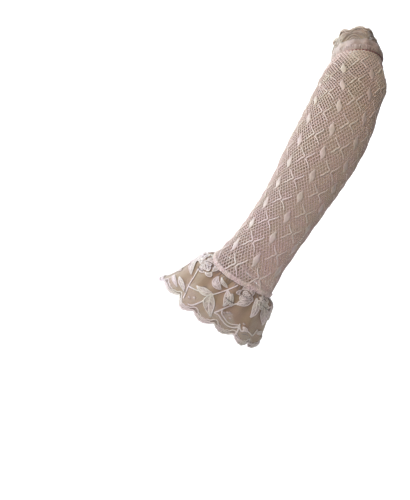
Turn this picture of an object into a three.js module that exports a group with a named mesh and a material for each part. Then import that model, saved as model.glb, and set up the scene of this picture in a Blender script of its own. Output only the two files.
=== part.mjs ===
import * as THREE from "three";

// A long fingerless lace mitt for the left arm, held in its worn shape.
// Z runs up the forearm from the wrist seam to the elbow, the back of the hand faces -Y,
// and the thumb is on the -X side. Sizes are in millimetres and angles in degrees.

// Driving sizes of the sleeve.
const sleeveHeight = 223.5;
const sleeveWidth = 65;
const sleeveDepth = 62;
const netWall = 1.0;
const netGapWidth = 14;
const netGapHeight = 13;
const netRepeatsAround = 8;
const netRepeatsAlong = 11;

// Driving sizes of the two seams.
const seamHeight = 5;
const seamThickness = 2.6;
const seamPuckers = 16;
const puckerDepth = 0.5;
const wristSeamWave = 2.5;
const wristWaveFade = 18;

// Driving sizes of the hand frill. The rate of a puff says how soon below the seam the lace swells,
// and the first notch and the thumb fold are placed by their share of a turn.
const handFrillDrop = 47;
const handScallops = 12;
const handScallopDepth = 5.5;
const handFirstNotch = 0.017;
const handWave = 2.4;
const handWaveCount = 7;
const handGather = 1.1;
const handGatherCount = 14;
const handPuff = 7;
const handPuffRate = 22;
const handSpread = 16;
const handFlick = 6;
const thumbFoldDepth = 7;
const thumbFoldWidth = 12;
const thumbFoldTurn = 0.85;

// Driving sizes of the arm frill.
const armFrillRise = 17;
const armScallops = 8;
const armScallopDepth = 3.2;
const armFirstNotch = 0.0;
const armWave = 1.3;
const armWaveCount = 6;
const armGather = 0.8;
const armGatherCount = 12;
const armPuff = 2;
const armPuffRate = 8;

// Sizes that both frills share.
const laceWall = 1.0;
const eyeletWidth = 5;
const eyeletHeight = 6;
const edgeCord = 1.6;
const pieceGap = 0.3;

// How finely the walls are faceted.
const netColumnsPerRepeat = 4;
const netRowsPerRepeat = 4;
const laceColumnsPerScallop = 6;
const handFrillRows = 8;
const armFrillRows = 5;
const seamColumns = 56;

// Sections of the sleeve from the wrist seam to the arm seam. up is a share of sleeveHeight,
// across and halfWidth are shares of sleeveWidth, back and halfDepth are shares of sleeveDepth,
// leanX and leanY are the tilt of the section's axis toward +X and +Y.
const sleeveSections = [
  { up: 0.013, across: -0.026, back: 0.000, halfWidth: 0.492, halfDepth: 0.371, leanX: 6, leanY: -6 },
  { up: 0.075, across: -0.012, back: 0.000, halfWidth: 0.465, halfDepth: 0.355, leanX: 4, leanY: -4 },
  { up: 0.130, across: 0.005, back: 0.000, halfWidth: 0.438, halfDepth: 0.355, leanX: 2, leanY: -2 },
  { up: 0.237, across: 0.028, back: 0.003, halfWidth: 0.428, halfDepth: 0.385, leanX: 0, leanY: 0 },
  { up: 0.340, across: 0.041, back: 0.006, halfWidth: 0.432, halfDepth: 0.415, leanX: 0, leanY: 1 },
  { up: 0.443, across: 0.040, back: 0.010, halfWidth: 0.451, halfDepth: 0.450, leanX: 0, leanY: 1 },
  { up: 0.543, across: 0.028, back: 0.014, halfWidth: 0.483, halfDepth: 0.480, leanX: -1, leanY: 2 },
  { up: 0.644, across: 0.014, back: 0.020, halfWidth: 0.498, halfDepth: 0.498, leanX: -2, leanY: 3 },
  { up: 0.725, across: -0.010, back: 0.028, halfWidth: 0.493, halfDepth: 0.500, leanX: -4, leanY: 7 },
  { up: 0.774, across: -0.034, back: 0.040, halfWidth: 0.482, halfDepth: 0.497, leanX: -6, leanY: 10 },
  { up: 0.859, across: -0.094, back: 0.080, halfWidth: 0.453, halfDepth: 0.485, leanX: -14, leanY: 15 },
  { up: 0.905, across: -0.116, back: 0.125, halfWidth: 0.454, halfDepth: 0.475, leanX: -18, leanY: 18 },
  { up: 0.930, across: -0.150, back: 0.155, halfWidth: 0.427, halfDepth: 0.465, leanX: -20, leanY: 20 },
  { up: 0.965, across: -0.208, back: 0.205, halfWidth: 0.372, halfDepth: 0.440, leanX: -24, leanY: 22 },
  { up: 1.000, across: -0.247, back: 0.260, halfWidth: 0.320, halfDepth: 0.410, leanX: -27, leanY: 24 },
];

// The hand frill round the hand. around is a share of a turn from the front toward +X, flare is the
// angle between the lace and the forearm's axis, drop is a share of handFrillDrop, and puff, wave and
// flick are shares of handPuff, handWave and handFlick.
const handFrillStations = [
  { around: 0.00, flare: 2, drop: 0.95, puff: 0.2, wave: 0.4, flick: 0.0 },
  { around: 0.12, flare: 0, drop: 1.00, puff: 0.3, wave: 0.6, flick: 0.0 },
  { around: 0.20, flare: -4, drop: 1.04, puff: 0.7, wave: 0.8, flick: 0.0 },
  { around: 0.26, flare: -3, drop: 0.99, puff: 1.2, wave: 0.8, flick: 0.0 },
  { around: 0.34, flare: 0, drop: 0.96, puff: 0.6, wave: 1.0, flick: 0.0 },
  { around: 0.50, flare: 6, drop: 0.98, puff: 0.4, wave: 1.0, flick: 0.0 },
  { around: 0.63, flare: 5, drop: 1.03, puff: 0.6, wave: 1.0, flick: 0.2 },
  { around: 0.71, flare: 2, drop: 1.14, puff: 1.0, wave: 0.6, flick: 1.0 },
  { around: 0.75, flare: 0, drop: 1.12, puff: 1.1, wave: 0.4, flick: 0.6 },
  { around: 0.80, flare: 1, drop: 1.00, puff: 0.8, wave: 0.3, flick: 0.1 },
  { around: 0.88, flare: 5, drop: 1.00, puff: 0.4, wave: 0.3, flick: 0.0 },
];

// The arm frill round the arm, with the same columns, as shares of the arm frill's sizes.
const armFrillStations = [
  { around: 0.00, flare: -16, drop: 1.00, puff: 0.5, wave: 1.0, flick: 0.0 },
  { around: 0.25, flare: -30, drop: 0.88, puff: 0.2, wave: 1.0, flick: 0.0 },
  { around: 0.50, flare: -6, drop: 1.00, puff: 1.0, wave: 1.0, flick: 0.0 },
  { around: 0.75, flare: -10, drop: 1.02, puff: 0.5, wave: 1.0, flick: 0.0 },
];

const radians = THREE.MathUtils.degToRad;

// A smooth value of a column between two rows of a table. turn is the length of one full turn where
// the table closes on itself, and 0 where it has two ends.
function sample(table, place, column, at, turn) {
  const count = table.length;
  const where = turn > 0 ? at - turn * Math.floor(at / turn) : at;
  let after = table.findIndex((row) => row[place] > where);
  if (after < 0) after = turn > 0 ? count : count - 1;
  if (after === 0) after = 1;
  const rowAt = (index) => {
    if (turn === 0) return table[THREE.MathUtils.clamp(index, 0, count - 1)];
    const wrapped = ((index % count) + count) % count;
    const laps = (index - wrapped) / count;
    return { ...table[wrapped], [place]: table[wrapped][place] + laps * turn };
  };
  const rows = [-2, -1, 0, 1].map((step) => rowAt(after + step));
  const [p0, p1, p2, p3] = rows.map((row) => row[place]);
  const [v0, v1, v2, v3] = rows.map((row) => row[column]);
  const slope1 = p2 > p0 ? (v2 - v0) / (p2 - p0) : 0;
  const slope2 = p3 > p1 ? (v3 - v1) / (p3 - p1) : 0;
  const span = p2 - p1;
  const t = (where - p1) / span;
  const blend = (1 + 2 * t) * (1 - t) ** 2 * v1 + t * t * (3 - 2 * t) * v2;
  return blend + span * (t * (1 - t) ** 2 * slope1 - t * t * (1 - t) * slope2);
}

// The sleeve's section at a share of its height: its centre, its axis, the directions across and
// back, its two half sizes, and how far its edge waves along the axis.
function sleeveSection(up) {
  const value = (column) => sample(sleeveSections, "up", column, up, 0);
  const centre = new THREE.Vector3(
    value("across") * sleeveWidth, value("back") * sleeveDepth, up * sleeveHeight);
  const slopeX = Math.tan(radians(value("leanX")));
  const slopeY = Math.tan(radians(value("leanY")));
  const axis = new THREE.Vector3(slopeX, slopeY, 1).normalize();
  const across = new THREE.Vector3(1, 0, 0).addScaledVector(axis, -axis.x).normalize();
  const back = new THREE.Vector3().crossVectors(axis, across);
  const halfWidth = value("halfWidth") * sleeveWidth;
  const halfDepth = value("halfDepth") * sleeveDepth;
  const aboveWrist = (up - sleeveSections[0].up) * sleeveHeight;
  const wave = wristSeamWave * Math.exp(-aboveWrist / wristWaveFade);
  return { centre, axis, across, back, halfWidth, halfDepth, wave };
}

// A share of a turn becomes the ellipse's angle that spaces points evenly along its edge.
function evenAngle(turn, halfWidth, halfDepth) {
  const stretch = (halfWidth - halfDepth) / (halfWidth + halfDepth) / 2;
  return 2 * Math.PI * turn - stretch * Math.sin(4 * Math.PI * turn);
}

// The direction out of a section at an angle from the front, at right angles to its edge.
function outward(section, angle) {
  const x = Math.sin(angle) / section.halfWidth;
  const y = Math.cos(angle) / section.halfDepth;
  const length = Math.hypot(x, y);
  return new THREE.Vector3()
    .addScaledVector(section.across, x / length)
    .addScaledVector(section.back, -y / length);
}

// A point on a section's edge, moved out by a distance and along the axis by a distance.
function edgePoint(section, angle, out, along) {
  return section.centre.clone()
    .addScaledVector(section.across, section.halfWidth * Math.sin(angle))
    .addScaledVector(section.back, -section.halfDepth * Math.cos(angle))
    .addScaledVector(outward(section, angle), out)
    .addScaledVector(section.axis, along + section.wave * Math.sin(2 * angle));
}

const wristSection = sleeveSection(sleeveSections[0].up);
const armSection = sleeveSection(sleeveSections[sleeveSections.length - 1].up);

// A closed wall on a grid that runs round, cut through at the grid points that isGap names.
// place(column, row, side) gives a point on the outer side (1) or the inner side (0).
function piercedWall(columns, rows, place, isGap) {
  const wrap = (column) => ((column % columns) + columns) % columns;
  const grid = [0, 1].map((side) => Array.from({ length: rows + 1 }, (_, row) =>
    Array.from({ length: columns }, (_, column) => place(column, row, side))));
  const at = (column, row, side) => grid[side][row][wrap(column)];
  const gap = (column, row) => isGap(wrap(column), row);
  const values = [];
  const triangle = (a, b, c) => values.push(...a.toArray(), ...b.toArray(), ...c.toArray());
  const bothSides = (a, b, c) => {
    triangle(at(...a, 1), at(...b, 1), at(...c, 1));
    triangle(at(...c, 0), at(...b, 0), at(...a, 0));
  };
  const rim = (a, b) => {
    triangle(at(...a, 1), at(...b, 0), at(...a, 0));
    triangle(at(...a, 1), at(...b, 1), at(...b, 0));
  };
  for (let row = 0; row < rows; row += 1) {
    for (let column = 0; column < columns; column += 1) {
      const corners = [[column, row], [column + 1, row], [column + 1, row + 1], [column, row + 1]];
      const open = corners.findIndex(([c, r]) => gap(c, r));
      const first = open < 0 ? (column + row) % 2 : (open + 1) % 4;
      const [a, b, c, d] = [0, 1, 2, 3].map((step) => corners[(first + step) % 4]);
      bothSides(a, b, c);
      if (open < 0) bothSides(a, c, d);
      else rim(a, c);
    }
  }
  for (let column = 0; column < columns; column += 1) {
    rim([column + 1, 0], [column, 0]);
    rim([column, rows], [column + 1, rows]);
  }
  const geometry = new THREE.BufferGeometry();
  geometry.setAttribute("position", new THREE.Float32BufferAttribute(values, 3));
  geometry.computeVertexNormals();
  return geometry;
}

// The grid lines of each repeat, in repeats: its middle, where a gap may be, the two lines beside it,
// which lie half of gapShare away, and the rest spread evenly to the repeat's ends.
function repeatLines(repeats, steps, gapShare) {
  const middle = steps / 2;
  const beside = Math.min(gapShare / 2, 0.4);
  const lines = [];
  for (let line = 0; line < repeats * steps; line += 1) {
    const away = line % steps - middle;
    const beyond = Math.max(Math.abs(away) - 1, 0) / (middle - 1);
    const spread = away === 0 ? 0 : beside + beyond * (0.5 - beside);
    lines.push(Math.floor(line / steps) + 0.5 + Math.sign(away) * spread);
  }
  return lines;
}

function buildSleeve() {
  const columns = netRepeatsAround * netColumnsPerRepeat;
  const rows = netRepeatsAlong * netRowsPerRepeat;
  const girth = Math.PI * (sleeveWidth + sleeveDepth) / 2;
  const gapAcross = netGapWidth * netRepeatsAround / girth;
  const gapAlong = netGapHeight * netRepeatsAlong / sleeveHeight;
  const around = repeatLines(netRepeatsAround, netColumnsPerRepeat, gapAcross);
  const along = repeatLines(netRepeatsAlong, netRowsPerRepeat, gapAlong);
  along.push(netRepeatsAlong);
  const clearOfSeam = seamHeight / 2 + pieceGap;
  const first = sleeveSections[0].up;
  const place = (column, row, side) => {
    const share = along[row] / netRepeatsAlong;
    const section = sleeveSection(first + (1 - first) * share);
    const turn = around[column] / netRepeatsAround - 0.5 / netRepeatsAround;
    const angle = evenAngle(turn, section.halfWidth, section.halfDepth);
    const ends = clearOfSeam * (1 - 2 * share);
    return edgePoint(section, angle, (side - 0.5) * netWall, ends);
  };
  const gapColumn = netColumnsPerRepeat / 2;
  const gapRow = netRowsPerRepeat / 2;
  const isGap = (column, row) =>
    column % netColumnsPerRepeat === gapColumn && row % netRowsPerRepeat === gapRow;
  return piercedWall(columns, rows, place, isGap);
}

// A rolled seam: a ring of rounded section that is drawn in at each pucker.
function buildSeam(section) {
  const corners = [
    { out: -0.5, along: -0.3 }, { out: -0.5, along: 0.3 }, { out: -0.15, along: 0.5 },
    { out: 0.3, along: 0.5 }, { out: 0.5, along: 0.25 }, { out: 0.5, along: -0.25 },
    { out: 0.3, along: -0.5 }, { out: -0.15, along: -0.5 },
  ];
  const values = [];
  const point = (column, corner) => {
    const turn = (column % seamColumns) / seamColumns;
    const angle = evenAngle(turn, section.halfWidth, section.halfDepth);
    const { out, along } = corners[corner % corners.length];
    const pucker = out > 0 ? puckerDepth * Math.cos(2 * Math.PI * seamPuckers * turn) : 0;
    return edgePoint(section, angle, out * seamThickness + pucker / 2, along * seamHeight);
  };
  const triangle = (a, b, c) => values.push(...a.toArray(), ...b.toArray(), ...c.toArray());
  for (let column = 0; column < seamColumns; column += 1) {
    for (let corner = 0; corner < corners.length; corner += 1) {
      const a = point(column, corner);
      const b = point(column + 1, corner);
      const c = point(column + 1, corner + 1);
      const d = point(column, corner + 1);
      triangle(a, c, b);
      triangle(a, d, c);
    }
  }
  const geometry = new THREE.BufferGeometry();
  geometry.setAttribute("position", new THREE.Float32BufferAttribute(values, 3));
  geometry.computeVertexNormals();
  return geometry;
}

// A scalloped lace frill that leaves a seam on one side of it: toward is 1 up the arm, -1 down it.
function buildFrill(section, toward, frill) {
  const columns = frill.scallops * laceColumnsPerScallop;
  const girth = Math.PI * (section.halfWidth + section.halfDepth);
  const edgeRuns = [0, edgeCord, edgeCord + eyeletHeight / 2, edgeCord + eyeletHeight];
  const innerRows = frill.rows - edgeRuns.length + 1;
  const eyeletRow = frill.rows - 2;
  const start = seamHeight / 2 + pieceGap;
  const eyeletAcross = eyeletWidth * frill.scallops / girth;
  const lines = repeatLines(frill.scallops, laceColumnsPerScallop, eyeletAcross);
  const place = (column, row, side) => {
    const turn = lines[column] / frill.scallops + frill.firstNotch;
    const value = (name) => sample(frill.stations, "around", name, turn, 1);
    const angle = evenAngle(turn, section.halfWidth, section.halfDepth);
    const flare = radians(value("flare"));
    const bow = Math.abs(Math.sin(Math.PI * lines[column]));
    const whole = value("drop") * frill.drop + frill.scallopDepth * bow;
    const inner = whole - edgeCord - eyeletHeight;
    const run = row < innerRows ? inner * row / innerRows : whole - edgeRuns[frill.rows - row];
    const share = run / whole;
    const broad = value("wave") * frill.wave * share * Math.cos(2 * Math.PI * frill.waves * turn);
    const gather = frill.gather * (1 - share) * Math.cos(2 * Math.PI * frill.gathers * turn);
    const puff = value("puff") * frill.puff * (1 - Math.exp(-share * frill.puffRate));
    const flick = value("flick") * frill.flick * share ** 6;
    const spread = frill.spread * share * Math.sin(angle);
    const flared = run * Math.sin(flare);
    const down = Math.sqrt(run * run - (flared + Math.abs(spread)) ** 2);
    const out = flared + broad + gather + puff + flick - frill.fold(turn, share) + (side - 0.5) * laceWall;
    return edgePoint(section, angle, out, toward * (start + down)).addScaledVector(section.across, spread);
  };
  const middle = laceColumnsPerScallop / 2;
  const isGap = (column, row) => column % laceColumnsPerScallop === middle && row === eyeletRow;
  const flipped = toward < 0 ? (column, row, side) => place(column, frill.rows - row, side) : place;
  const flippedGap = toward < 0 ? (column, row) => isGap(column, frill.rows - row) : isGap;
  return piercedWall(columns, frill.rows, flipped, flippedGap);
}

// The deep fold that runs up from the edge where the thumb leaves the hand, at a share of a turn.
function thumbFold(turn, share) {
  const girth = Math.PI * (wristSection.halfWidth + wristSection.halfDepth);
  const away = (turn - Math.floor(turn) - thumbFoldTurn) * girth / (thumbFoldWidth / 2);
  return thumbFoldDepth * share * share * Math.exp(-away * away);
}

const handFrill = {
  stations: handFrillStations,
  scallops: handScallops,
  rows: handFrillRows,
  drop: handFrillDrop,
  scallopDepth: handScallopDepth,
  firstNotch: handFirstNotch,
  wave: handWave,
  waves: handWaveCount,
  gather: handGather,
  gathers: handGatherCount,
  puff: handPuff,
  puffRate: handPuffRate,
  spread: handSpread,
  flick: handFlick,
  fold: thumbFold,
};

const armFrill = {
  stations: armFrillStations,
  scallops: armScallops,
  rows: armFrillRows,
  drop: armFrillRise,
  scallopDepth: armScallopDepth,
  firstNotch: armFirstNotch,
  wave: armWave,
  waves: armWaveCount,
  gather: armGather,
  gathers: armGatherCount,
  puff: armPuff,
  puffRate: armPuffRate,
  spread: 0,
  flick: 0,
  fold: () => 0,
};

const netCloth = new THREE.MeshStandardMaterial({ color: 0xd8c0bd, roughness: 0.9, metalness: 0 });
const seamThread = new THREE.MeshStandardMaterial({ color: 0xdcbcbd, roughness: 0.85, metalness: 0 });
const laceCloth = new THREE.MeshStandardMaterial({ color: 0xddd2cf, roughness: 0.8, metalness: 0 });

function named(name, geometry, material) {
  const mesh = new THREE.Mesh(geometry, material);
  mesh.name = name;
  return mesh;
}

const mitt = new THREE.Group();
mitt.add(named("sleeve", buildSleeve(), netCloth));
mitt.add(named("wrist_seam", buildSeam(wristSection), seamThread));
mitt.add(named("hand_frill", buildFrill(wristSection, -1, handFrill), laceCloth));
mitt.add(named("arm_seam", buildSeam(armSection), seamThread));
mitt.add(named("arm_frill", buildFrill(armSection, 1, armFrill), laceCloth));

export default mitt;
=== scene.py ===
"""A long fingerless lace mitt, dressed over its frame.

The sizes and sections of the frame's solids are repeated here, so the mitt has their size and place.
The sleeve becomes a knitted net with woven diamonds and crossing ribs, the seams become gathered
rolls with their stitches, and the frills become tulle with leaves, roses, stems and corded scallops.
Shapes are worked out in millimetres and turned into metres when a piece is made. Z runs up the
forearm, the back of the hand faces -Y, and the thumb is on the -X side. A turn is one lap round the
arm, 0 at the front and growing toward +X.
"""

import bpy
import numpy as np
from mathutils import Matrix


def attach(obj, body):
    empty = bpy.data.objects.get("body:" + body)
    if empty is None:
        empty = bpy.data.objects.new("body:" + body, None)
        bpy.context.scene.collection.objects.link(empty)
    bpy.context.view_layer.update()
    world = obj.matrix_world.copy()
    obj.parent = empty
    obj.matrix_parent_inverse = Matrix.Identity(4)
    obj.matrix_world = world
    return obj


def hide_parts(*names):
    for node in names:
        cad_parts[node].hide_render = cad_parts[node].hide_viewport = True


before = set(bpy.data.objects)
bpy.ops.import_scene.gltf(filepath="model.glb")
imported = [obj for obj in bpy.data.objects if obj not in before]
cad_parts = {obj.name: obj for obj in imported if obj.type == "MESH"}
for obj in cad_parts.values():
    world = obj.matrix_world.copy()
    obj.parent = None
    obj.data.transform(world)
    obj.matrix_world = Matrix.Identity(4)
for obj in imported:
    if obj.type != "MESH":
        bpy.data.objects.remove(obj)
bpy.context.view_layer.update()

TAU = 2 * np.pi
METRE = 1000


# Camera

def stand(right, up, back, place):
    """The matrix of an object at a place, from the directions of its own X, Y and Z."""
    rows = [(*row, at) for row, at in zip(zip(right, up, back), place)]
    return Matrix(rows + [(0, 0, 0, 1)])


def make_camera():
    """A camera in front of the back of the hand, a little above it, that leans to the left."""
    right = (0.85536, 0.10770, 0.50671)
    up = (-0.51803, 0.17784, 0.83667)
    back = (0.0, -0.97815, 0.20791)
    place = (-0.04466, -0.63495, 0.13911)
    data = bpy.data.cameras.new("camera")
    data.sensor_width = 36
    data.lens = 49.26
    camera = bpy.data.objects.new("camera", data)
    camera.matrix_world = stand(right, up, back, place)
    bpy.context.collection.objects.link(camera)
    bpy.context.scene.camera = camera


make_camera()


# Sizes, in millimetres

SLEEVE_HEIGHT, SLEEVE_WIDTH, SLEEVE_DEPTH = 223.5, 65.0, 62.0
SEAM_HEIGHT, SEAM_THICKNESS, SEAM_CLEARANCE = 5.0, 2.6, 0.3
# Counts for a whole turn, then the steps of the seam's surface round the arm and round its section,
# how deep its ridges and puckers are, and how far a stitch reaches up and down, in so many steps.
STITCHES, SEAM_RIDGES, SEAM_PUCKERS = 52, 52, 16
SEAM_STEPS, SEAM_CORNERS = 720, 20
RIDGE_DEPTH, PUCKER_DEPTH, STITCH_REACH, STITCH_STEPS = 0.42, 0.45, 2.3, 8
WRIST_WAVE, WRIST_WAVE_FADE = 2.5, 18.0

# Sections of the sleeve, as in the frame: up, across, back, half width, half depth, lean X, lean Y.
SECTIONS = np.array([
    (0.013, -0.026, 0.000, 0.492, 0.371, 6, -6), (0.075, -0.012, 0.000, 0.465, 0.355, 4, -4),
    (0.130, 0.005, 0.000, 0.438, 0.355, 2, -2), (0.237, 0.028, 0.003, 0.428, 0.385, 0, 0),
    (0.340, 0.041, 0.006, 0.432, 0.415, 0, 1), (0.443, 0.040, 0.010, 0.451, 0.450, 0, 1),
    (0.543, 0.028, 0.014, 0.483, 0.480, -1, 2), (0.644, 0.014, 0.020, 0.498, 0.498, -2, 3),
    (0.725, -0.010, 0.028, 0.493, 0.500, -4, 7), (0.774, -0.034, 0.040, 0.482, 0.497, -6, 10),
    (0.859, -0.094, 0.080, 0.453, 0.485, -14, 15), (0.905, -0.116, 0.125, 0.454, 0.475, -18, 18),
    (0.930, -0.150, 0.155, 0.427, 0.465, -20, 20), (0.965, -0.208, 0.205, 0.372, 0.440, -24, 22),
    (1.000, -0.247, 0.260, 0.320, 0.410, -27, 24)])

# The frills round the hand and the arm: turn, flare in degrees, and shares of the frill's own drop,
# puff, wave and flick.
HAND_STATIONS = np.array([
    (0.00, 2, 0.95, 0.2, 0.4, 0.0), (0.12, 0, 1.00, 0.3, 0.6, 0.0), (0.20, -4, 1.04, 0.7, 0.8, 0.0),
    (0.26, -3, 0.99, 1.2, 0.8, 0.0), (0.34, 0, 0.96, 0.6, 1.0, 0.0), (0.50, 6, 0.98, 0.4, 1.0, 0.0),
    (0.63, 5, 1.03, 0.6, 1.0, 0.2), (0.71, 2, 1.14, 1.0, 0.6, 1.0), (0.75, 0, 1.12, 1.1, 0.4, 0.6),
    (0.80, 1, 1.00, 0.8, 0.3, 0.1), (0.88, 5, 1.00, 0.4, 0.3, 0.0)])
ARM_STATIONS = np.array([
    (0.00, -16, 1.00, 0.5, 1.0, 0.0), (0.25, -30, 0.88, 0.2, 1.0, 0.0),
    (0.50, -6, 1.00, 1.0, 1.0, 0.0), (0.75, -10, 1.02, 0.5, 1.0, 0.0)])
FLARE, DROP, PUFF, WAVE, FLICK = range(1, 6)
# Each frill: toward is the way that it runs along Z, and section_up the section that it starts from.
# Waves, gathers and scallops are counts for a whole turn, notch is a turn, puff_rate says how soon the
# puff sets in, and the rest are lengths.
HAND = dict(
    stations=HAND_STATIONS, toward=-1, section_up=0.013, drop=47.0, scallops=12, scallop=5.5,
    notch=0.017, wave=2.4, waves=7, gather=1.1, gathers=14, puff=7.0, puff_rate=22, spread=16.0,
    flick=6.0, fold=7.0)
ARM = dict(
    stations=ARM_STATIONS, toward=1, section_up=1.0, drop=17.0, scallops=8, scallop=3.2,
    notch=0.0, wave=1.3, waves=6, gather=0.8, gathers=12, puff=2.0, puff_rate=8, spread=0.0,
    flick=0.0, fold=0.0)
THUMB_FOLD_WIDTH, THUMB_FOLD_TURN = 12.0, 0.85
EDGE_PLACES, LEAF_PLACES = 1441, 17

# The net: its repeats round and along the arm, their size on the flat, the holes across one repeat,
# the steps of a strand along one, and how much the columns may crowd together at the back.
COLUMNS, ROWS = 8, 11.3
COLUMN_PITCH, ROW_PITCH = 25.5, 21.0
HOLES, ROW_STEPS = 8, 10
CROWDING_MOST = 0.6
# The rows of ribs; a row of diamonds lies between each two. Then a diamond's length as a share of a
# row, and its width and sway as shares of a column.
RIB_ROWS = 11
DIAMOND_LENGTH, DIAMOND_WIDTH, DIAMOND_SWAY = 0.63, 0.22, 0.03
# The height of each row of diamonds, as a share of the sleeve's.
ROW_HEIGHTS = np.array([
    (0.0, 0.000), (1.0, 0.119), (2.0, 0.229), (3.0, 0.329), (4.0, 0.425), (5.0, 0.517), (6.0, 0.6125),
    (7.0, 0.700), (8.0, 0.779), (9.0, 0.854), (10.0, 0.915), (11.3, 1.000)])
# How far the columns drift, in turns, at a share of the sleeve's height.
COLUMN_DRIFT = np.array([
    (0.00, 0.000), (0.52, 0.000), (0.61, -0.010), (0.70, -0.025), (0.78, -0.040), (0.85, -0.060),
    (0.91, -0.090), (1.00, -0.095)])
# The net's strands: their width at a row, how much wider they grow at the back for each of the two
# ways that they lean, what the wrist adds to that, their thickness, and how far they weave in and out.
STRAND_WIDTHS = np.array([(0, 0.72), (1.5, 0.96), (6, 1.06), (10.4, 1.06), (10.9, 1.7), (11.3, 2.0)])
BACK_WIDENING, WRIST_WIDENING = (1.3, 0.3), 0.4
STRAND_THICKNESS, STRAND_WEAVE = 0.55, 0.16


# Smooth tables and the arm's sections

def smooth(table, column, at, turn=0.0):
    """A table's column between its rows: cubic pieces whose slope at a row joins its two neighbours.

    turn is the length after which the table starts again, or 0 where it has two ends.
    """
    places, values = table[:, 0], table[:, column]
    if turn:
        places = np.concatenate([places[-2:] - turn, places, places[:2] + turn])
        values = np.concatenate([values[-2:], values, values[:2]])
        at = at - turn * np.floor(at / turn)
    slopes = np.empty(len(places))
    slopes[1:-1] = (values[2:] - values[:-2]) / (places[2:] - places[:-2])
    slopes[0] = (values[1] - values[0]) / (places[1] - places[0])
    slopes[-1] = (values[-1] - values[-2]) / (places[-1] - places[-2])
    row = np.clip(np.searchsorted(places, at, side="right") - 1, 0, len(places) - 2)
    span = places[row + 1] - places[row]
    t = (at - places[row]) / span
    level = (1 + 2 * t) * (1 - t) ** 2 * values[row] + t * t * (3 - 2 * t) * values[row + 1]
    return level + span * (t * (1 - t) ** 2 * slopes[row] - t * t * (1 - t) * slopes[row + 1])


def section(up):
    """The sleeve's ellipse at a share of its height: centre, directions, half sizes and edge wave."""
    up = np.asarray(up, float)
    columns = [smooth(SECTIONS, column, up) for column in range(1, SECTIONS.shape[1])]
    across, back, half_width, half_depth, lean_x, lean_y = columns
    centre = np.stack([across * SLEEVE_WIDTH, back * SLEEVE_DEPTH, up * SLEEVE_HEIGHT], -1)
    axis = np.stack([np.tan(np.radians(lean_x)), np.tan(np.radians(lean_y)), np.ones_like(up)], -1)
    axis = axis / np.linalg.norm(axis, axis=-1, keepdims=True)
    side = np.array([1.0, 0, 0]) - axis * axis[..., :1]
    side = side / np.linalg.norm(side, axis=-1, keepdims=True)
    rise = (up - SECTIONS[0, 0]) * SLEEVE_HEIGHT
    wave = WRIST_WAVE * np.exp(-rise / WRIST_WAVE_FADE)
    return dict(centre=centre, axis=axis, across=side, back=np.cross(axis, side),
                half_width=half_width * SLEEVE_WIDTH, half_depth=half_depth * SLEEVE_DEPTH, wave=wave)


def even_angle(ring, turn):
    """The ellipse's angle at a share of a turn, bent a little so that even turns give even steps."""
    wide, deep = ring["half_width"], ring["half_depth"]
    return TAU * turn - (wide - deep) / (wide + deep) / 2 * np.sin(2 * TAU * turn)


def on_ring(ring, angle, out, along, spread=0.0):
    """A point of the ellipse, moved out across its edge, along the axis, and sideways by a spread."""
    nx, ny = np.sin(angle) / ring["half_width"], np.cos(angle) / ring["half_depth"]
    length = np.hypot(nx, ny)
    x = ring["half_width"] * np.sin(angle) + out * nx / length + spread
    y = ring["half_depth"] * np.cos(angle) + out * ny / length
    z = along + ring["wave"] * np.sin(2 * angle)
    return (ring["centre"] + ring["across"] * x[..., None] - ring["back"] * y[..., None]
            + ring["axis"] * z[..., None])


def girth(ring):
    """The length of the ellipse's edge, pi times the sum of its half sizes."""
    return np.pi * (ring["half_width"] + ring["half_depth"])


# The three cloths as maps from a flat drawing in millimetres to the worn shape

def net_cloth(x, y, out):
    """The sleeve's net: x goes round, one repeat each COLUMN_PITCH, and y goes up, one each ROW_PITCH.

    The front keeps the repeats' true width, so the columns crowd together at the back wherever the
    arm is thinner, and near the elbow the whole pattern drifts toward the thumb's side.
    """
    x, y, out = np.broadcast_arrays(x, y, out)
    up = np.clip(smooth(ROW_HEIGHTS, 1, y / ROW_PITCH), SECTIONS[0, 0], 1.0)
    ring = section(up)
    lap = x / COLUMN_PITCH / COLUMNS
    crowding = np.clip(COLUMNS * COLUMN_PITCH / girth(ring) - 1, 0, CROWDING_MOST)
    turn = lap + crowding * np.sin(TAU * lap) / TAU + smooth(COLUMN_DRIFT, 1, up)
    return on_ring(ring, even_angle(ring, turn), out, np.zeros_like(out))


def station(frill, column, turn):
    """A column of a frill's table of stations, at a turn."""
    return smooth(frill["stations"], column, turn, 1.0)


def frill_length(frill, turn):
    """A frill's length from seam to edge: its drop there, and a scallop's bow, the size of a sine."""
    bow = np.abs(np.sin(np.pi * frill["scallops"] * (turn - frill["notch"])))
    return station(frill, DROP, turn) * frill["drop"] + frill["scallop"] * bow


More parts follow.
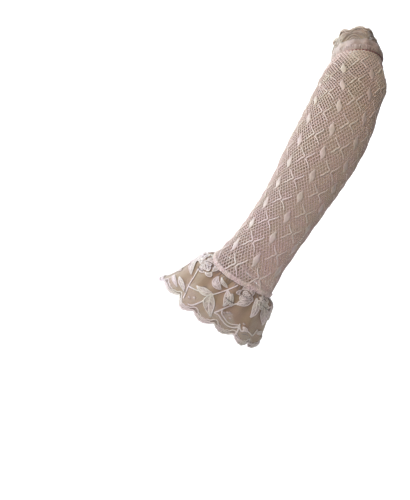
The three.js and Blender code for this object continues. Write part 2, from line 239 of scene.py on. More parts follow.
def frill_cloth(frill):
    """The map of one frill: x goes round the seam and y goes up from it, so a hand frill has y below 0.

    A point lies run millimetres from the seam, tipped out by the flare. It also swells out by the puff,
    which sets in soon after the seam, by broad waves that grow to the edge, by gathers that fade from
    the seam, and by a flick at the edge. It goes in where the thumb's fold runs up, and the whole
    frill spreads sideways with the hand.
    """
    ring = section(frill["section_up"])
    lap = girth(ring)

    def place(x, y, out):
        """The worn place of a flat place and a distance out of the cloth."""
        x, y, out = np.broadcast_arrays(x, y, out)
        turn = x / lap
        run = frill["toward"] * y
        share = run / frill_length(frill, turn)
        angle = even_angle(ring, turn)
        wave = station(frill, WAVE, turn) * frill["wave"]
        broad = wave * share * np.cos(frill["waves"] * TAU * turn)
        gather = frill["gather"] * (1 - share) * np.cos(frill["gathers"] * TAU * turn)
        puff = station(frill, PUFF, turn) * frill["puff"] * (1 - np.exp(-share * frill["puff_rate"]))
        flick = station(frill, FLICK, turn) * frill["flick"] * share ** 6
        spread = frill["spread"] * share * np.sin(angle)
        flared = run * np.sin(np.radians(station(frill, FLARE, turn)))
        down = np.sign(run) * np.sqrt(np.maximum(run * run - (flared + np.abs(spread)) ** 2, 0))
        away = (turn - np.floor(turn) - THUMB_FOLD_TURN) * lap / (THUMB_FOLD_WIDTH / 2)
        fold = frill["fold"] * share * share * np.exp(-away * away)
        start = SEAM_HEIGHT / 2 + SEAM_CLEARANCE
        total = flared + broad + gather + puff + flick - fold + out
        return on_ring(ring, angle, total, frill["toward"] * (start + down), spread)

    return place, lap


hand_cloth, hand_lap = frill_cloth(HAND)
arm_cloth, arm_lap = frill_cloth(ARM)


# Ribbons and sheets drawn on the flat

def ribbon(path, width, thickness, sides, lift):
    """A closed cord along flat paths: an oval section carried along each path.

    path is (..., n, 2). The section's points are the path's point plus half the width times the cosine
    of an angle, to the path's left, and lift plus half the thickness times its sine, out of the cloth.
    Gives x, y and out as arrays (..., n, sides), and the same for the length along and for the place
    round the section, which runs from 0 at the outer crown to 1 at the inner one, on both sides.
    """
    tangent = np.gradient(path, axis=-2)
    tangent = tangent / np.maximum(np.linalg.norm(tangent, axis=-1, keepdims=True), 1e-9)
    left = np.stack([-tangent[..., 1], tangent[..., 0]], -1)
    angle = TAU * np.arange(sides) / sides
    width = np.broadcast_to(width, path.shape[:-1])[..., None]
    thickness = np.broadcast_to(thickness, path.shape[:-1])[..., None]
    lift = np.broadcast_to(lift, path.shape[:-1])[..., None]
    across = width / 2 * np.cos(angle)
    x = path[..., 0][..., None] + left[..., 0][..., None] * across
    y = path[..., 1][..., None] + left[..., 1][..., None] * across
    out = lift + thickness / 2 * np.sin(angle)
    steps = np.linalg.norm(np.diff(path, axis=-2), axis=-1)
    along = np.concatenate([np.zeros(steps.shape[:-1] + (1,)), np.cumsum(steps, axis=-1)], -1)
    side = 2 * np.abs((angle / TAU + 0.25) % 1 - 0.5)
    return x, y, out, np.broadcast_to(along[..., None], x.shape), np.broadcast_to(side, x.shape)


def grid_quads(index):
    """The quads between the neighbours of a grid of point numbers."""
    corners = (index[:-1, :-1], index[:-1, 1:], index[1:, 1:], index[1:, :-1])
    return np.stack(corners, -1).reshape(-1, 4).tolist()


def cord_mesh(shape, first):
    """Faces of closed cords on a grid (count, n, sides): quads round each, and a face at each end."""
    count, n, sides = shape
    index = first + np.arange(count * n * sides).reshape(shape)
    after = np.roll(index, -1, axis=2)
    quads = np.stack([index[:, :-1], after[:, :-1], after[:, 1:], index[:, 1:]], -1).reshape(-1, 4)
    ends = np.concatenate([index[:, 0, ::-1], index[:, -1]]).reshape(-1, sides)
    return quads.tolist() + ends.tolist()


class Piece:
    """Gathers the cords and sheets of one piece, then makes its object."""

    def __init__(self, name):
        self.name, self.points, self.faces, self.uv, self.count = name, [], [], [], 0

    def add(self, points, uv, faces):
        """Adds points, their two flat coordinates, and faces numbered on from the points so far."""
        self.points.append(points.reshape(-1, 3))
        self.uv.append(uv.reshape(-1, 2))
        self.faces += faces
        self.count += self.points[-1].shape[0]

    def cords(self, cloth, path, width, thickness, sides, lift):
        """Closed cords along flat paths on a cloth.

        Their own flat coordinates are the length along and the place round.
        """
        x, y, out, along, side = ribbon(np.asarray(path, float), width, thickness, sides, lift)
        if x.ndim == 2:
            x, y, out, along, side = (a[None] for a in (x, y, out, along, side))
        self.add(cloth(x, y, out), np.stack([along, side], -1), cord_mesh(x.shape, self.count))

    def sheet(self, points, uv):
        """One open sheet on a grid of rows and columns, whose last column joins its first."""
        rows, columns = points.shape[:2]
        index = self.count + np.arange(rows * columns).reshape(rows, columns)
        index = np.concatenate([index, index[:, :1]], 1)
        self.add(points, uv, grid_quads(index))

    def make(self, material, slot, stands_for=()):
        """Makes the object in metres, smooth, with its UV map, and ties it to the mitt's one body."""
        mesh = bpy.data.meshes.new(self.name)
        mesh.from_pydata((np.concatenate(self.points) / METRE).tolist(), [], self.faces)
        corners = np.empty(len(mesh.loops), np.int32)
        mesh.loops.foreach_get("vertex_index", corners)
        layer = mesh.uv_layers.new(name="flat")
        layer.data.foreach_set("uv", (np.concatenate(self.uv)[corners] / METRE).ravel())
        mesh.polygons.foreach_set("use_smooth", np.ones(len(mesh.polygons), bool))
        mesh.materials.append(material)
        mesh.update()
        piece = bpy.data.objects.new(self.name, mesh)
        bpy.context.collection.objects.link(piece)
        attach(piece, "root")
        if stands_for:
            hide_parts(*stands_for)
        return piece


# Materials

class Value:
    """One output of a material's node. Sums, products and shares of values add their Math nodes."""

    def __init__(self, tree, socket):
        self.tree, self.socket = tree, socket

    def node(self, kind, settings, links, output=0):
        """A new node: its settings first, then its sockets' values or links."""
        node = self.tree.nodes.new(kind)
        for name, value in settings.items():
            setattr(node, name, value)
        for name, value in links.items():
            if isinstance(value, Value):
                self.tree.links.new(value.socket, node.inputs[name])
            else:
                node.inputs[name].default_value = value
        return Value(self.tree, node.outputs[output])

    def math(self, operation, *others):
        """The operation on this value and the others, as one Math node."""
        return self.node("ShaderNodeMath", {"operation": operation}, dict(enumerate((self, *others))))

    def __add__(self, other):
        return self.math("ADD", other)

    def __sub__(self, other):
        return self.math("SUBTRACT", other)

    def __mul__(self, other):
        return self.math("MULTIPLY", other)

    def __truediv__(self, other):
        return self.math("DIVIDE", other)


def linear(red, green, blue):
    """A colour seen on screen, 0 to 255, as the light that a shader takes."""
    seen = np.array([red, green, blue]) / 255
    light = np.where(seen <= 0.04045, seen / 12.92, ((seen + 0.055) / 1.055) ** 2.4)
    return (*light.tolist(), 1.0)


def new_material(name, **settings):
    """A material with its shader's fixed sockets set, a value to start its nodes, and the shader."""
    material = bpy.data.materials.new(name)
    material.use_nodes = True
    tree = material.node_tree
    shader = tree.nodes["Principled BSDF"]
    for socket, value in settings.items():
        shader.inputs[socket.replace("_", " ").title()].default_value = value
    return material, Value(tree, None), shader


def flat_place(start):
    """A piece's own flat coordinates in millimetres: length along and turn, or across and up."""
    uv = start.node("ShaderNodeUVMap", {"uv_map": "flat"}, {})
    parts = uv.node("ShaderNodeSeparateXYZ", {}, {0: uv})
    along = parts * METRE
    turn = Value(parts.tree, parts.socket.node.outputs["Y"]) * METRE
    return along, turn


def cloudy(start, size, detail=2.0):
    """Soft noise between about 0.3 and 0.7, in patches of that many millimetres on the object."""
    where = start.node("ShaderNodeTexCoord", {}, {}, "Object")
    sockets = {"Vector": where, "Scale": METRE / size, "Detail": detail}
    return start.node("ShaderNodeTexNoise", {}, sockets)


def colour_between(start, factor, dark, light):
    """A colour that goes from dark to light with a factor."""
    return start.node("ShaderNodeMix", {"data_type": "RGBA"}, {0: factor, 6: dark, 7: light}, 2)


PLAIN, PINK_TINT, BEIGE_TINT = (1, 1, 1, 1), (1.0, 0.93, 0.935, 1), (0.975, 0.98, 0.89, 1)
ELBOW_TINT, ARM_TINT = (0.95, 0.93, 0.785, 1), (0.77, 0.71, 0.70, 1)


def dyed(start, colour):
    """The colour times soft tints: pink and beige patches, beige toward the elbow, and a grey above.

    The height is in metres: the elbow is at 0.22, and the grey sets in just above it, in a centimetre.
    """
    place = start.node("ShaderNodeTexCoord", {}, {}, "Object")
    height = place.node("ShaderNodeSeparateXYZ", {}, {0: place}, "Z")
    patches = colour_between(start, cloudy(start, 13) * 4 - 1.5, PINK_TINT, BEIGE_TINT)
    elbow = colour_between(start, height / 0.22, PLAIN, ELBOW_TINT)
    above = colour_between(start, height * 90 - 20.3, PLAIN, ARM_TINT)
    multiply = {"data_type": "RGBA", "blend_type": "MULTIPLY"}
    for tint in (patches, elbow, above):
        colour = start.node("ShaderNodeMix", multiply, {0: 1.0, 6: colour, 7: tint}, 2)
    return colour


def finish(start, shader, colour, height, depth, roughness=None, alpha=None):
    """Joins the dyed colour, a bump of a depth in millimetres, and what else varies to the shader."""
    colour = dyed(start, colour)
    sockets = {"Strength": 1.0, "Distance": depth / METRE, "Height": height}
    bump = start.node("ShaderNodeBump", {}, sockets)
    joins = {"Base Color": colour, "Normal": bump, "Roughness": roughness, "Alpha": alpha}
    for socket, value in joins.items():
        if value is not None:
            start.tree.links.new(value.socket, shader.inputs[socket])


def thread_material(name, dark, light, lay, inside=None):
    """Yarn with a chain of slanting plies, lay millimetres apart, with painted shade in the grooves
    between them.

    Where an inside colour is given, the inner half of each cord takes it: painted shade on the inner
    face, out of the light.
    """
    material, start, shader = new_material(name, sheen_weight=0.35, sheen_roughness=0.5)
    shader.inputs["Sheen Tint"].default_value = (0.88, 0.92, 1.0, 1)
    along, side = flat_place(start)
    ply_height_and_groove_shade = ((along / lay + side) * TAU).math("SINE") * 0.5 + 0.5
    patches = cloudy(start, 14)
    fibres = cloudy(start, 0.5)
    # The ply grooves also darken the colour here: painted shade in the grooves.
    shade = ply_height_and_groove_shade * 0.35 + patches * 0.5 + fibres * 0.25
    colour = colour_between(start, shade, dark, light)
    # Painted shade: the inner half of each cord takes the inside colour.
    if inside:
        colour = colour_between(start, side * 6 - 2.6, colour, inside)
    finish(start, shader, colour, ply_height_and_groove_shade + fibres * 0.6, 0.12, fibres * 0.3 + 0.47)
    return material


def satin_material(name, dark, light, rib=0.55, depth=0.1):
    """Satin stitch on leaves and petals: fine threads side by side across the length of the shape, with
    painted shade between them.
    """
    material, start, shader = new_material(name, sheen_weight=0.4, sheen_roughness=0.4)
    along, _ = flat_place(start)
    rows = (along * (TAU / rib)).math("SINE") * 0.5 + 0.5
    patches = cloudy(start, 3.2, 3.0)
    fibres = cloudy(start, 0.6)
    # rows darken the colour between the threads: painted shade. The patches are random tone.
    shade = rows * 0.3 + patches * 2.2 + fibres * 0.2 - 0.85
    colour = colour_between(start, shade, dark, light)
    finish(start, shader, colour, rows + fibres * 0.8, depth, fibres * 0.3 + 0.42)
    return material


def tulle_material(name, dark, light):
    """Sheer tulle: two slanting sets of fine threads, clear between them, denser in cloudy patches."""
    material, start, shader = new_material(name, sheen_weight=0.3, roughness=0.6)
    across, up = flat_place(start)
    cell, thread = 1.0, 0.3

    def threads(place):
        """How far a place is from the middle of its cell, 0.5 on a thread's own middle."""
        return ((place / cell).math("FRACT") - 0.5).math("ABSOLUTE")

    centre = threads(across + up * 0.6).math("MAXIMUM", threads(across - up * 0.6))
    mask = centre.math("GREATER_THAN", 0.5 - thread / cell / 2)
    patches = cloudy(start, 9)
    colour = colour_between(start, patches, dark, light)
    finish(start, shader, colour, mask, 0.05, None, mask * 0.12 + patches * 0.2 + 0.78)
    return material


# Painted shade: a tan for the inner half of each net and rib cord, so the inside of the sleeve reads
# shaded through the holes.
painted_inside_shade = linear(226, 201, 184)
net_yarn = thread_material("net_yarn", linear(199, 170, 165), linear(228, 203, 198), 1.1, painted_inside_shade)
rib_yarn = thread_material("rib_yarn", linear(210, 186, 183), linear(238, 219, 216), 0.9, painted_inside_shade)
diamond_yarn = satin_material("diamond_yarn", linear(200, 178, 175), linear(226, 206, 203), 0.7)
seam_cloth = satin_material("seam_cloth", linear(208, 182, 176), linear(240, 218, 212), 0.8, 0.2)
band_cloth = satin_material("band_cloth", linear(194, 170, 172), linear(222, 202, 204), 0.8, 0.2)
seam_yarn = thread_material("seam_yarn", linear(228, 200, 195), linear(252, 232, 228), 0.9)
leaf_satin = satin_material("leaf_satin", linear(168, 147, 138), linear(230, 214, 207))
lace_cord = thread_material("lace_cord", linear(222, 205, 199), linear(251, 240, 236), 0.8)
# The tulle's brown is partly its own colour and partly painted shade, darkened to stand for tulle in
# shade.
tulle = tulle_material("tulle", linear(158, 130, 107), linear(178, 150, 126))
border_satin = satin_material("border_satin", linear(144, 124, 112), linear(184, 164, 153))
# Dark red for the line under the arm's seam: partly stitching, partly painted shade of the groove.
needle_and_shade_thread = thread_material("needle_and_shade_thread", linear(128, 70, 74), linear(166, 106, 106), 0.8)
# Painted shadow: a dark brown thread for the shade under curled petals.
painted_shadow_thread = thread_material("painted_shadow_thread", linear(108, 90, 82), linear(138, 118, 108), 0.8)


# The sleeve's net

def column_scale(path):
    """How wide the net's columns lie at a flat place, next to their true width at the front."""
    up = np.clip(smooth(ROW_HEIGHTS, 1, path[..., 1] / ROW_PITCH), SECTIONS[0, 0], 1.0)
    lap = path[..., 0] / COLUMN_PITCH / COLUMNS
    round_arm = girth(section(up)) / (COLUMNS * COLUMN_PITCH)
    return round_arm * (1 + np.clip(1 / round_arm - 1, 0, CROWDING_MOST) * np.cos(TAU * lap))


def lattice():
    """Paths of the net's strands: each goes up one step and half a hole sideways at a time, both ways.

    Strands of the two directions pass over and under each other, so each one's lift turns over at
    every step.
    """
    steps = int(round(ROWS * ROW_STEPS))
    step = np.arange(steps + 1)
    starts = np.arange(COLUMNS * HOLES) * COLUMN_PITCH / HOLES
    paths, lifts = [], []
    for way in (1, -1):
        x = starts[:, None] + way * step * COLUMN_PITCH / HOLES / 2
        y = np.broadcast_to(step * ROW_PITCH / ROW_STEPS, x.shape)
        paths.append(np.stack([x, y], -1))
        lifts.append(np.broadcast_to(STRAND_WEAVE * way * np.where(step % 2 == 0, 1, -1), x.shape))
    return np.concatenate(paths), np.concatenate(lifts)


def make_net():
    """The fine net: flat oval strands, a little wider toward the elbow, where the net isn't stretched.

    At the back the strands that lean one way widen until they meet, and those that lean the other way
    widen only a little, so that the cloth is close there. backward is 0 at the front, and 1 from just
    past the sides round the back. Strands are also wider where the columns crowd together.
    """
    path, lift = lattice()
    row = path[..., 1] / ROW_PITCH
    width = np.interp(row, STRAND_WIDTHS[:, 0], STRAND_WIDTHS[:, 1])
    backward = np.minimum(0.8 - 0.8 * np.cos(TAU * path[..., 0] / COLUMN_PITCH / COLUMNS), 1) ** 3
    closed = np.repeat(BACK_WIDENING, COLUMNS * HOLES)[:, None] + WRIST_WIDENING * np.exp(-row)
    width = width * (1 + closed * backward) / column_scale(path) ** 0.6
    net = Piece("net")
    net.cords(net_cloth, path, width, STRAND_THICKNESS, 6, lift)
    return net.make(net_yarn, "net_cloth", ["sleeve"])


def figure_grid(columns, rows):
    """Flat places of a figure that is repeated at each column and row, as an array (count, 1, 2)."""
    column, row = np.meshgrid(columns, rows)
    return np.stack([column.ravel() * COLUMN_PITCH, row.ravel() * ROW_PITCH], -1)[:, None, :]


def make_diamonds():
    """The woven diamonds: the width falls evenly from the middle to the two pointed ends.

    The spine sways by a small sine, and the height is half a sine from end to end.
    """
    share = np.linspace(0.0, 1.0, 17)
    centres = figure_grid(np.arange(COLUMNS), np.arange(1, RIB_ROWS))
    sway = DIAMOND_SWAY * COLUMN_PITCH * np.sin(TAU * share)
    spine = np.stack([sway, (share - 0.5) * DIAMOND_LENGTH * ROW_PITCH], -1)
    width = 0.7 + DIAMOND_WIDTH * COLUMN_PITCH * np.clip(1 - np.abs(2.2 * share - 1.1), 0, 0.92)
    height = 0.5 + 0.4 * np.sin(np.pi * share)
    diamonds = Piece("net_diamonds")
    diamonds.cords(net_cloth, centres + spine, width, height, 12, 0.35)
    return diamonds.make(diamond_yarn, "net_cloth")


def curve(points, count):
    """A smooth path through flat points, each joined to the next by the cubic pieces of a table."""
    points = np.asarray(points, float)
    place = np.arange(len(points), dtype=float)
    table = np.column_stack([place, points])
    at = np.linspace(0, len(points) - 1, count)
    at[-1] -= 1e-9  # keeps the last place inside the table
    return np.stack([smooth(table, 1, at), smooth(table, 2, at)], -1)


def make_ribs():
    """The crossing ribs between the diamonds: two bent ribs that touch at their bends, back to back.

    The width is a parabola, widest in the middle, with small ripples.
    """
    scale = np.array([COLUMN_PITCH, ROW_PITCH])
    left = [(-0.30, 0.30), (-0.17, 0.15), (-0.035, 0.03),
            (-0.13, -0.11), (-0.19, -0.25), (-0.27, -0.34)]
    right = [(0.27, 0.37), (0.20, 0.23), (0.13, 0.13),
             (0.035, -0.03), (0.16, -0.15), (0.28, -0.31)]
    share = np.linspace(-1, 1, 21)
    width = 1.15 + 0.42 * (1 - share * share) + 0.12 * np.cos(5 * np.pi * share)
    centres = figure_grid(np.arange(COLUMNS) + 0.5, np.arange(RIB_ROWS) + 0.5)
    ribs = Piece("net_ribs")
    for points in (left, right):
        ribs.cords(net_cloth, centres + curve(points, 21) * scale, width, 0.9, 6, 0.42)
    return ribs.make(rib_yarn, "net_cloth")


net = make_net()
diamonds = make_diamonds()
ribs = make_ribs()


# The two seams

def rounded(wave):
    """A sine or cosine with fuller crests, which turns a circle into a rounded box."""
    return np.sign(wave) * np.abs(wave) ** 0.7


def make_seam(name, up, stands_for, cloth_material, yarn_material):
    """A gathered roll: a rounded box section round the arm, drawn in at its puckers and finely ridged.

    Its cloth is a closed ring. The overcast stitches are a second piece, one zigzag thread all round.
    """
    ring = section(up)
    turn = np.arange(SEAM_STEPS) / SEAM_STEPS
    corner = TAU * np.arange(SEAM_CORNERS) / SEAM_CORNERS
    turns, corners = np.meshgrid(turn, corner, indexing="ij")
    angle = even_angle(ring, turns)
    ridge = RIDGE_DEPTH * np.cos(SEAM_RIDGES * TAU * turns + 2 * np.sin(corners))
    pucker = PUCKER_DEPTH * np.cos(SEAM_PUCKERS * TAU * turns) + ridge
    out = rounded(np.cos(corners)) * SEAM_THICKNESS / 2 + pucker * np.clip(np.cos(corners) + 0.3, 0, 1)
    swell = 1 + 0.08 * np.cos(SEAM_PUCKERS * TAU * turns + 1)
    along = rounded(np.sin(corners)) * SEAM_HEIGHT / 2 * swell
    roll = Piece(name)
    uv = np.stack([turns * girth(ring), corners / TAU], -1)
    index = np.arange(SEAM_STEPS * SEAM_CORNERS).reshape(SEAM_STEPS, SEAM_CORNERS)
    beside, after = np.roll(index, -1, 0), np.roll(index, -1, 1)
    quads = np.stack([index, beside, np.roll(beside, -1, 1), after], -1).reshape(-1, 4)
    roll.add(on_ring(ring, angle, out, along), uv, quads.tolist())
    roll.make(cloth_material, "seam_thread", [stands_for])

    def on_seam(x, y, lift):
        """The seam as a flat strip: x round it, y up it, and its middle swells out most."""
        x, y, lift = np.broadcast_arrays(x, y, lift)
        shell = SEAM_THICKNESS / 2 * (1 - np.abs(y / (SEAM_HEIGHT / 2)) ** 3)
        return on_ring(ring, even_angle(ring, x / girth(ring)), shell + lift, y)

    place = np.arange(STITCHES * STITCH_STEPS + 1) / STITCH_STEPS
    zigzag = np.stack([place / STITCHES * girth(ring), STITCH_REACH * np.sin(TAU * place)], -1)
    stitches = Piece(name + "_stitches")
    stitches.cords(on_seam, zigzag, 1.1, 0.8, 6, 0.35)
    stitches.make(yarn_material, "seam_thread")


make_seam("wrist_roll", HAND["section_up"], "wrist_seam", seam_cloth, seam_yarn)
make_seam("arm_roll", ARM["section_up"], "arm_seam", band_cloth, band_cloth)


# The frills

def make_tulle(name, frill, cloth, lap, stands_for, columns, rows):
    """A frill's sheer ground, from the seam to its scalloped edge, on a grid of turns and shares."""
    turn = np.arange(columns) / columns
    share = np.linspace(0.0, 1.0, rows)
    shares, turns = np.meshgrid(share, turn, indexing="ij")
    y = frill["toward"] * shares * frill_length(frill, turns)
    points = cloth(turns * lap, y, np.zeros_like(y))
    uv = np.stack([turns * lap, y], -1)
    ground = Piece(name)
    if frill["toward"] < 0:
        points, uv = points[::-1], uv[::-1]
    ground.sheet(points, uv)
    return ground.make(tulle, "lace_cloth", [stands_for])


def edge_path(frill, lap, inset, ripple):
    """A path all round a frill, inset millimetres inside its edge, with a small ripple of its own."""
    turn = np.linspace(0, 1, EDGE_PLACES)
    y = frill_length(frill, turn) - inset + ripple * np.cos(frill["scallops"] * 5 * TAU * turn)
    return np.stack([turn * lap, frill["toward"] * y], -1)


def leaf(base, tip, width, bend, blunt):
    """A leaf on the flat: a bowed spine, and a width that is a sine of a power of the share along it.

    Gives the spine, the way to its left, and the width.
    """
    base, tip = np.asarray(base, float), np.asarray(tip, float)
    share = np.linspace(0, 1, LEAF_PLACES)
    way = tip - base
    left = np.array([-way[1], way[0]]) / max(np.hypot(*way), 1e-9)
    spine = base + share[:, None] * way + (bend * 4 * share * (1 - share))[:, None] * left
    tangent = np.gradient(spine, axis=0)
    length = np.hypot(tangent[:, 0], tangent[:, 1])[:, None]
    left = np.stack([-tangent[:, 1], tangent[:, 0]], -1) / length
    return spine, left, np.maximum(0.4, width * np.sin(np.pi * share ** blunt))


# The rings of petals in a rose: their reach, count and width, the first one's turn, and their lift.
PETAL_RINGS = ((0.38, 5, 0.21, 0.2, 0.0), (0.20, 3, 0.17, 0.6, 0.35))


class Lace:
    """A frill's lace: its border and pleats, satin shapes, and the cords that edge and vein them."""

    def __init__(self, name, frill, cloth, lap):
        self.frill, self.cloth, self.lap = frill, cloth, lap
        parts = ("_border", "_leaves", "_cords")
        self.border, self.satin, self.corded = (Piece(name + part) for part in parts)

    def at(self, turn, run):
        """The flat place of a turn and a run from the seam."""
        return np.array([turn * self.lap, self.frill["toward"] * run])

    def leaf(self, base, tip, width, bend, blunt=0.85, veins=4, lift=0.0):
        """A satin leaf with a corded edge, a midrib, and slanting veins that run from it to the edge.

        Its middle stands off the ground a little more than its ends do.
        """
        spine, left, wide = leaf(base, tip, width, bend, blunt)
        lift = lift + 0.8 * np.sin(np.pi * np.linspace(0, 1, len(spine)))
        self.satin.cords(self.cloth, spine, wide, 0.7, 14, 0.25 + lift)
        for side in (1, -1):
            edge = spine + side * left * (wide / 2)[:, None]
            self.corded.cords(self.cloth, edge, 0.85, 0.8, 6, 0.5 + lift)
        if veins:
            self.corded.cords(self.cloth, spine[1:-1], 0.7, 0.55, 6, 0.65 + lift[1:-1])
            root = np.linspace(2, 10, veins).astype(int)
            share = np.linspace(0, 1, 4)[:, None]
            height = 0.62 + lift[root][:, None] * np.ones(4)
            for side in (1, -1):
                ends = spine[root + 4] + side * left[root + 4] * (wide[root + 4] * 0.42)[:, None]
                path = spine[root][:, None] + (ends - spine[root])[:, None] * share
                self.corded.cords(self.cloth, path, 0.42, 0.4, 5, height)

    def stem(self, points, width):
        """A corded stem through flat places."""
        path = curve([self.at(*point) for point in points], 8 * len(points))
        self.corded.cords(self.cloth, path, width, 0.9, 8, 0.45)

    def rose(self, turn, run, size):
        """A rose: rings of petals, crescents that bulge out past their chords, round a coiled heart."""
        middle = self.at(turn, run)
        for reach, count, width, start, lift in PETAL_RINGS:
            for angle in TAU * (np.arange(count) + start) / count:
                ends = [middle + reach * size * np.array([1.1 * np.cos(t), 0.95 * np.sin(t)])
                        for t in (angle, angle + 0.9 * TAU / count)]
                self.leaf(*ends, width * size, -0.45 * reach * size, 1.0, 0, lift)
        angle = np.linspace(0, 1.5 * TAU, 40)
        coil = (0.02 + 0.09 * angle / angle[-1])[:, None] * size
        heart = middle + coil * np.stack([np.cos(angle), np.sin(angle)], -1)
        self.corded.cords(self.cloth, heart, 0.8, 0.8, 6, 0.95)

    def dot(self, turn, run):
        """A raised dot: a short cord, round from above."""
        size = 1.9
        place = np.linspace(-0.5, 0.5, 7)
        path = self.at(turn, run) + size * np.stack([place, 0 * place], -1)
        self.satin.cords(self.cloth, path, size * np.sqrt(1.05 - 4 * place ** 2), 1.1, 8, 0.45)

    def pleats(self, count, longest):
        """Short folds of many lengths that run out from the seam, where the lace is gathered."""
        fold = np.arange(count)[:, None]
        share = np.linspace(0, 1, 8)
        run = 0.2 + longest * (0.6 + 0.4 * np.sin(2.4 * fold)) * share
        across = fold / count * self.lap + 0.8 * np.sin(1.7 * fold) * share
        path = np.stack([across, self.frill["toward"] * run], -1)
        self.border.cords(self.cloth, path, 1.5 - 1.1 * share, 0.9, 6, 0.3)

    def edges(self, outer, inner, crescent):
        """Two corded edges all round with a satin band between them, and a crescent in each scallop."""
        frill = self.frill
        band = edge_path(frill, self.lap, inner / 2 + 0.3, 0.3)
        self.border.cords(self.cloth, band, inner - 1.2, 0.5, 10, 0.1)
        for inset, width, ripple in ((0.8, 1.8, 0.25), (inner, 0.9, 0.35)):
            edge = edge_path(frill, self.lap, inset, ripple)
            self.corded.cords(self.cloth, edge, width * outer, 1.0, 8, 0.2)
        half = 0.33 / frill["scallops"]
        for turn in frill["notch"] + (np.arange(frill["scallops"]) + 0.5) / frill["scallops"]:
            ends = [self.at(t, frill_length(frill, np.array(t)) - inner / 2 - 0.4)
                    for t in (turn - half, turn + half)]
            self.leaf(*ends, crescent, frill["toward"] * frill["scallop"] * 0.3, 1.0, 0)

    def make(self):
        """The pieces of this lace."""
        layers = ((self.border, border_satin), (self.satin, leaf_satin), (self.corded, lace_cord))
        return [layer.make(material, "lace_cloth") for layer, material in layers]


# Lace on the front half of the hand frill, which the back half repeats.
# Leaves: the turn and run of the base and of the tip, then the width and the bend.
LEAVES = [
    (-0.210, 34.5, -0.146, 39.5, 4.5, 1.0), (-0.242, 40, -0.182, 42, 3.6, 0.8),
    (-0.272, 8, -0.188, 23, 7.6, -0.6), (-0.066, 20, -0.130, 25, 6.6, 1.5),
    (-0.049, 12.5, -0.104, 4, 6.4, 2.2), (-0.032, 8, -0.088, 2.5, 2.6, 0.5),
    (-0.060, 21.5, -0.008, 40, 7.4, -1.5), (-0.024, 9.5, 0.006, 25, 5.2, 1.8),
    (0.004, 10, 0.036, 22, 4.4, -1.2), (0.106, 8, 0.050, 18, 6.6, -1.0),
    (0.120, 4, 0.131, 23, 5.0, 1.6), (0.178, 8.5, 0.231, 26, 9.4, 0.8),
    (0.122, 35, 0.144, 38, 3.2, 0.5), (0.226, 37, 0.250, 33, 4.2, 0.6),
]
# Stems: width, then the turn and run of each point.
STEMS = [
    (1.1, (-0.001, 0.5), (-0.030, 11), (-0.055, 20), (-0.064, 26), (-0.068, 32), (-0.082, 41.4),
     (-0.098, 44)), (1.0, (-0.191, 14), (-0.170, 22), (-0.153, 31), (-0.138, 38), (-0.126, 44)),
    (1.1, (-0.055, 20), (-0.100, 26), (-0.148, 32)), (1.2, (0.049, 17), (0.019, 25), (-0.006, 35)),
    (1.1, (0.049, 17), (0.080, 12.5), (0.110, 8)),
    (1.1, (0.013, 29), (0.020, 32.5), (0.042, 35.9), (0.070, 38.1), (0.103, 35.5)),
    (1.3, (-0.006, 35), (0.013, 35), (0.035, 38.2), (0.063, 41), (0.087, 40.4), (0.105, 37)),
    (1.3, (0.104, 34), (0.109, 41), (0.106, 46.5)),
    (1.5, (0.132, 1.5), (0.160, 5.5), (0.193, 7.4), (0.224, 5.5)),
    (1.3, (0.107, 36), (0.122, 39.5), (0.141, 36.9), (0.162, 37.9), (0.190, 40.5), (0.206, 39),
     (0.214, 32.5)),
]
# Roses: the turn and run of the middle, and the size.
ROSES = [(-0.172, 5.4, 14.5), (-0.232, 4.6, 12.5), (0.062, 5.0, 13.0), (0.166, 5.0, 11.0)]
# Painted shadows under curled petals: dark cords laid where there is only shade. The turn and run of
# each point.
CREASE_SHADOWS = [
    [(-0.196, 11.8), (-0.181, 12.7), (-0.162, 10.3)], [(-0.180, 3.9), (-0.159, 4.6)],
    [(-0.161, 2.5), (-0.176, 0.8)], [(0.033, 5.5), (0.055, 6.6), (0.072, 5.3), (0.087, 2.2)],
    [(-0.011, 15.8), (0.009, 16.9), (0.036, 17.7)], [(0.162, 7.0), (0.193, 8.8), (0.212, 8.2)],
    [(-0.111, 20.4), (-0.097, 18.6)], [(-0.149, 37.7), (-0.135, 37.9)],
    [(0.127, 41.4), (0.139, 40.3), (0.156, 40.2)],
]
# The edge that runs down past the thumb, and the raised dots: the turn and run of each point.
THUMB_EDGE = [(-0.277, 4), (-0.277, 15), (-0.278, 25), (-0.278, 35), (-0.280, 44), (-0.282, 51)]
DOTS = [
    (-0.115, 38.5), (-0.101, 35), (0.026, 30.3), (0.036, 29.1), (0.046, 28), (0.058, 32.9), (0.120, 32),
]

hand_ground = make_tulle("hand_tulle", HAND, hand_cloth, hand_lap, "hand_frill", 432, 36)
hand_lace = Lace("hand", HAND, hand_cloth, hand_lap)
hand_crease_shadows = Piece("hand_crease_shadows")
for shift in (0.0, 0.5):
    for turn0, run0, turn1, run1, width, bend in LEAVES:
        base, tip = hand_lace.at(turn0 + shift, run0), hand_lace.at(turn1 + shift, run1)
        hand_lace.leaf(base, tip, width, bend)
    for width, *points in STEMS:
        hand_lace.stem([(turn + shift, run) for turn, run in points], width)
    for turn, run, size in ROSES:
        hand_lace.rose(turn + shift, run, size)
    for turn, run in DOTS:
        hand_lace.dot(turn + shift, run)
    # Dark cords that paint the shadows under curled petals.
    for points in CREASE_SHADOWS:
        path = curve([hand_lace.at(turn + shift, run) for turn, run in points], 12)
        hand_crease_shadows.cords(hand_cloth, path, 0.65, 0.5, 6, 1.8)
hand_lace.stem(THUMB_EDGE, 2.6)
hand_lace.pleats(72, 5.0)
hand_lace.edges(1.0, 4.8, 1.5)
hand_pieces = [*hand_lace.make(), hand_crease_shadows.make(painted_shadow_thread, "lace_cloth")]

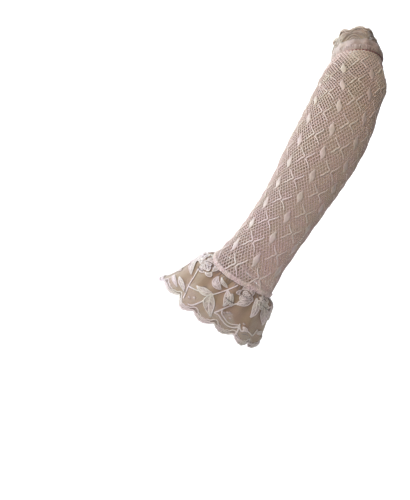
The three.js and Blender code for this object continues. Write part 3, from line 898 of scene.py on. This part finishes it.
# Lace on a sixth of the arm frill: three arches, one inside the other, in the stems' columns.
ARM_ARCHES = [(2.8, (0.000, 3), (0.018, 9), (0.050, 13), (0.100, 13), (0.148, 9), (0.166, 3)),
              (1.2, (0.030, 3), (0.042, 7), (0.065, 9.5), (0.095, 9.5), (0.120, 7), (0.133, 3)),
              (0.9, (0.058, 3.5), (0.068, 6), (0.085, 7), (0.102, 6), (0.110, 3.5))]

arm_ground = make_tulle("arm_tulle", ARM, arm_cloth, arm_lap, "arm_frill", 432, 16)
arm_lace = Lace("arm", ARM, arm_cloth, arm_lap)
for shift in np.arange(6) / 6:
    for width, *points in ARM_ARCHES:
        arch = curve([arm_lace.at(turn + shift, run) for turn, run in points], 40)
        arm_lace.border.cords(arm_cloth, arch, width, 0.7, 10, 0.3)
        arm_lace.satin.cords(arm_cloth, arch + [0, 0.45 * width], 0.7, 0.6, 6, 0.45)
arm_lace.pleats(60, 3.0)
arm_lace.edges(0.7, 3.2, 1.3)
arm_pieces = arm_lace.make()


def make_band():
    """The arm frill's close header: a flat band just above the seam, gathered a little."""
    turn = np.linspace(0, 1, 721)
    band = Piece("arm_band")
    path = np.stack([turn * arm_lap, 2.0 + 0.2 * np.cos(24 * TAU * turn)], -1)
    band.cords(arm_cloth, path, 6.6 + 0.4 * np.cos(16 * TAU * turn), 0.9, 12, 0.45)
    return band.make(band_cloth, "seam_thread")


def make_needle_and_shade_line():
    """A row of dark red stitches in the groove between the net and the arm's seam, partly real
    stitching and partly painted shade of the groove.
    """
    ring = section(ARM["section_up"])

    def groove(x, y, out):
        """A flat strip just under the seam, x round it and y up from its lower edge."""
        return on_ring(ring, even_angle(ring, x / girth(ring)), 0.8 + out, y - SEAM_HEIGHT / 2)

    stitch = np.arange(STITCHES)[:, None] + np.linspace(-0.34, 0.34, 6)
    line = Piece("arm_needle_and_shade_line")
    path = np.stack([stitch / STITCHES * girth(ring), 0 * stitch - 0.5], -1)
    line.cords(groove, path, 1.3, 0.9, 8, 0.2)
    line.make(needle_and_shade_thread, "seam_thread")


arm_band = make_band()
make_needle_and_shade_line()


# Stage and light

def make_stage():
    """A pale sweep: a floor that bends up into a wall behind the mitt, well clear of it."""
    across = np.linspace(-4.0, 4.0, 3)
    floor, bend_start, bend_size = -0.42, 1.1, 0.5
    wall = bend_start + bend_size
    profile = [(-4.0, floor), (-0.6, floor), (bend_start, floor)]
    profile += [(bend_start + bend_size * np.sin(t), floor + bend_size * (1 - np.cos(t)))
                for t in np.linspace(0.1, np.pi / 2, 14)]
    profile += [(wall, 1.2), (wall, 3.2)]
    profile = np.array(profile)
    points = np.stack(np.broadcast_arrays(across[None, :], profile[:, :1], profile[:, 1:]), -1)
    index = np.arange(len(profile) * len(across)).reshape(-1, len(across))
    mesh = bpy.data.meshes.new("sweep")
    mesh.from_pydata(points.reshape(-1, 3).tolist(), [], grid_quads(index))
    mesh.polygons.foreach_set("use_smooth", np.ones(len(mesh.polygons), bool))
    material, start, shader = new_material("sweep_paper", roughness=0.9)
    colour = colour_between(start, cloudy(start, 400), (0.93, 0.93, 0.93, 1), (0.97, 0.97, 0.97, 1))
    start.tree.links.new(colour.socket, shader.inputs["Base Color"])
    mesh.materials.append(material)
    sweep = bpy.data.objects.new("sweep", mesh)
    bpy.context.collection.objects.link(sweep)


def make_light(name, place, toward, size, power, colour):
    """A soft square light that faces a point."""
    data = bpy.data.lights.new(name, "AREA")
    data.size, data.energy, data.color = size, power, colour
    light = bpy.data.objects.new(name, data)
    place, toward = np.array(place, float), np.array(toward, float)
    back = (place - toward) / np.linalg.norm(place - toward)
    side = np.cross([0, 0, 1.0], back)
    side /= np.linalg.norm(side)
    light.matrix_world = stand(side, np.cross(back, side), back, place)
    bpy.context.collection.objects.link(light)


WHITE, BLUE, SKY = (1, 1, 1), (0.28, 0.62, 1.0), (0.72, 0.88, 1.0)
# Lights: name, place, the point that it faces, size, power and colour.
LIGHTS = [
    ("key", (-0.85, -0.95, 0.62), (0, 0, 0.1), 0.7, 12, WHITE),
    ("rim", (-1.0, 0.25, 0.4), (0, 0, 0.1), 0.4, 3.2, BLUE),
    ("wall_left", (-0.95, 0.45, 0.5), (-0.55, 1.6, 0.35), 0.6, 9, WHITE),
    ("wall_right", (0.95, 0.45, 0.5), (0.55, 1.6, 0.35), 0.6, 9, WHITE),
    ("floor_left", (-1.2, 0.1, 0.0), (-0.5, 0.6, -0.42), 1.0, 9, SKY),
    ("floor_right", (0.75, 0.3, 0.0), (0.5, 0.7, -0.42), 0.5, 5, WHITE),
    ("floor_middle", (-0.75, 0.5, 0.1), (-0.2, 0.7, -0.42), 0.4, 4, WHITE),
]

make_stage()
for light in LIGHTS:
    make_light(*light)
world = bpy.data.worlds.new("studio")
world.use_nodes = True
world.node_tree.nodes["Background"].inputs["Color"].default_value = (1, 1, 1, 1)
world.node_tree.nodes["Background"].inputs["Strength"].default_value = 0.18
bpy.context.scene.world = world
bpy.context.scene.view_settings.view_transform = "Standard"
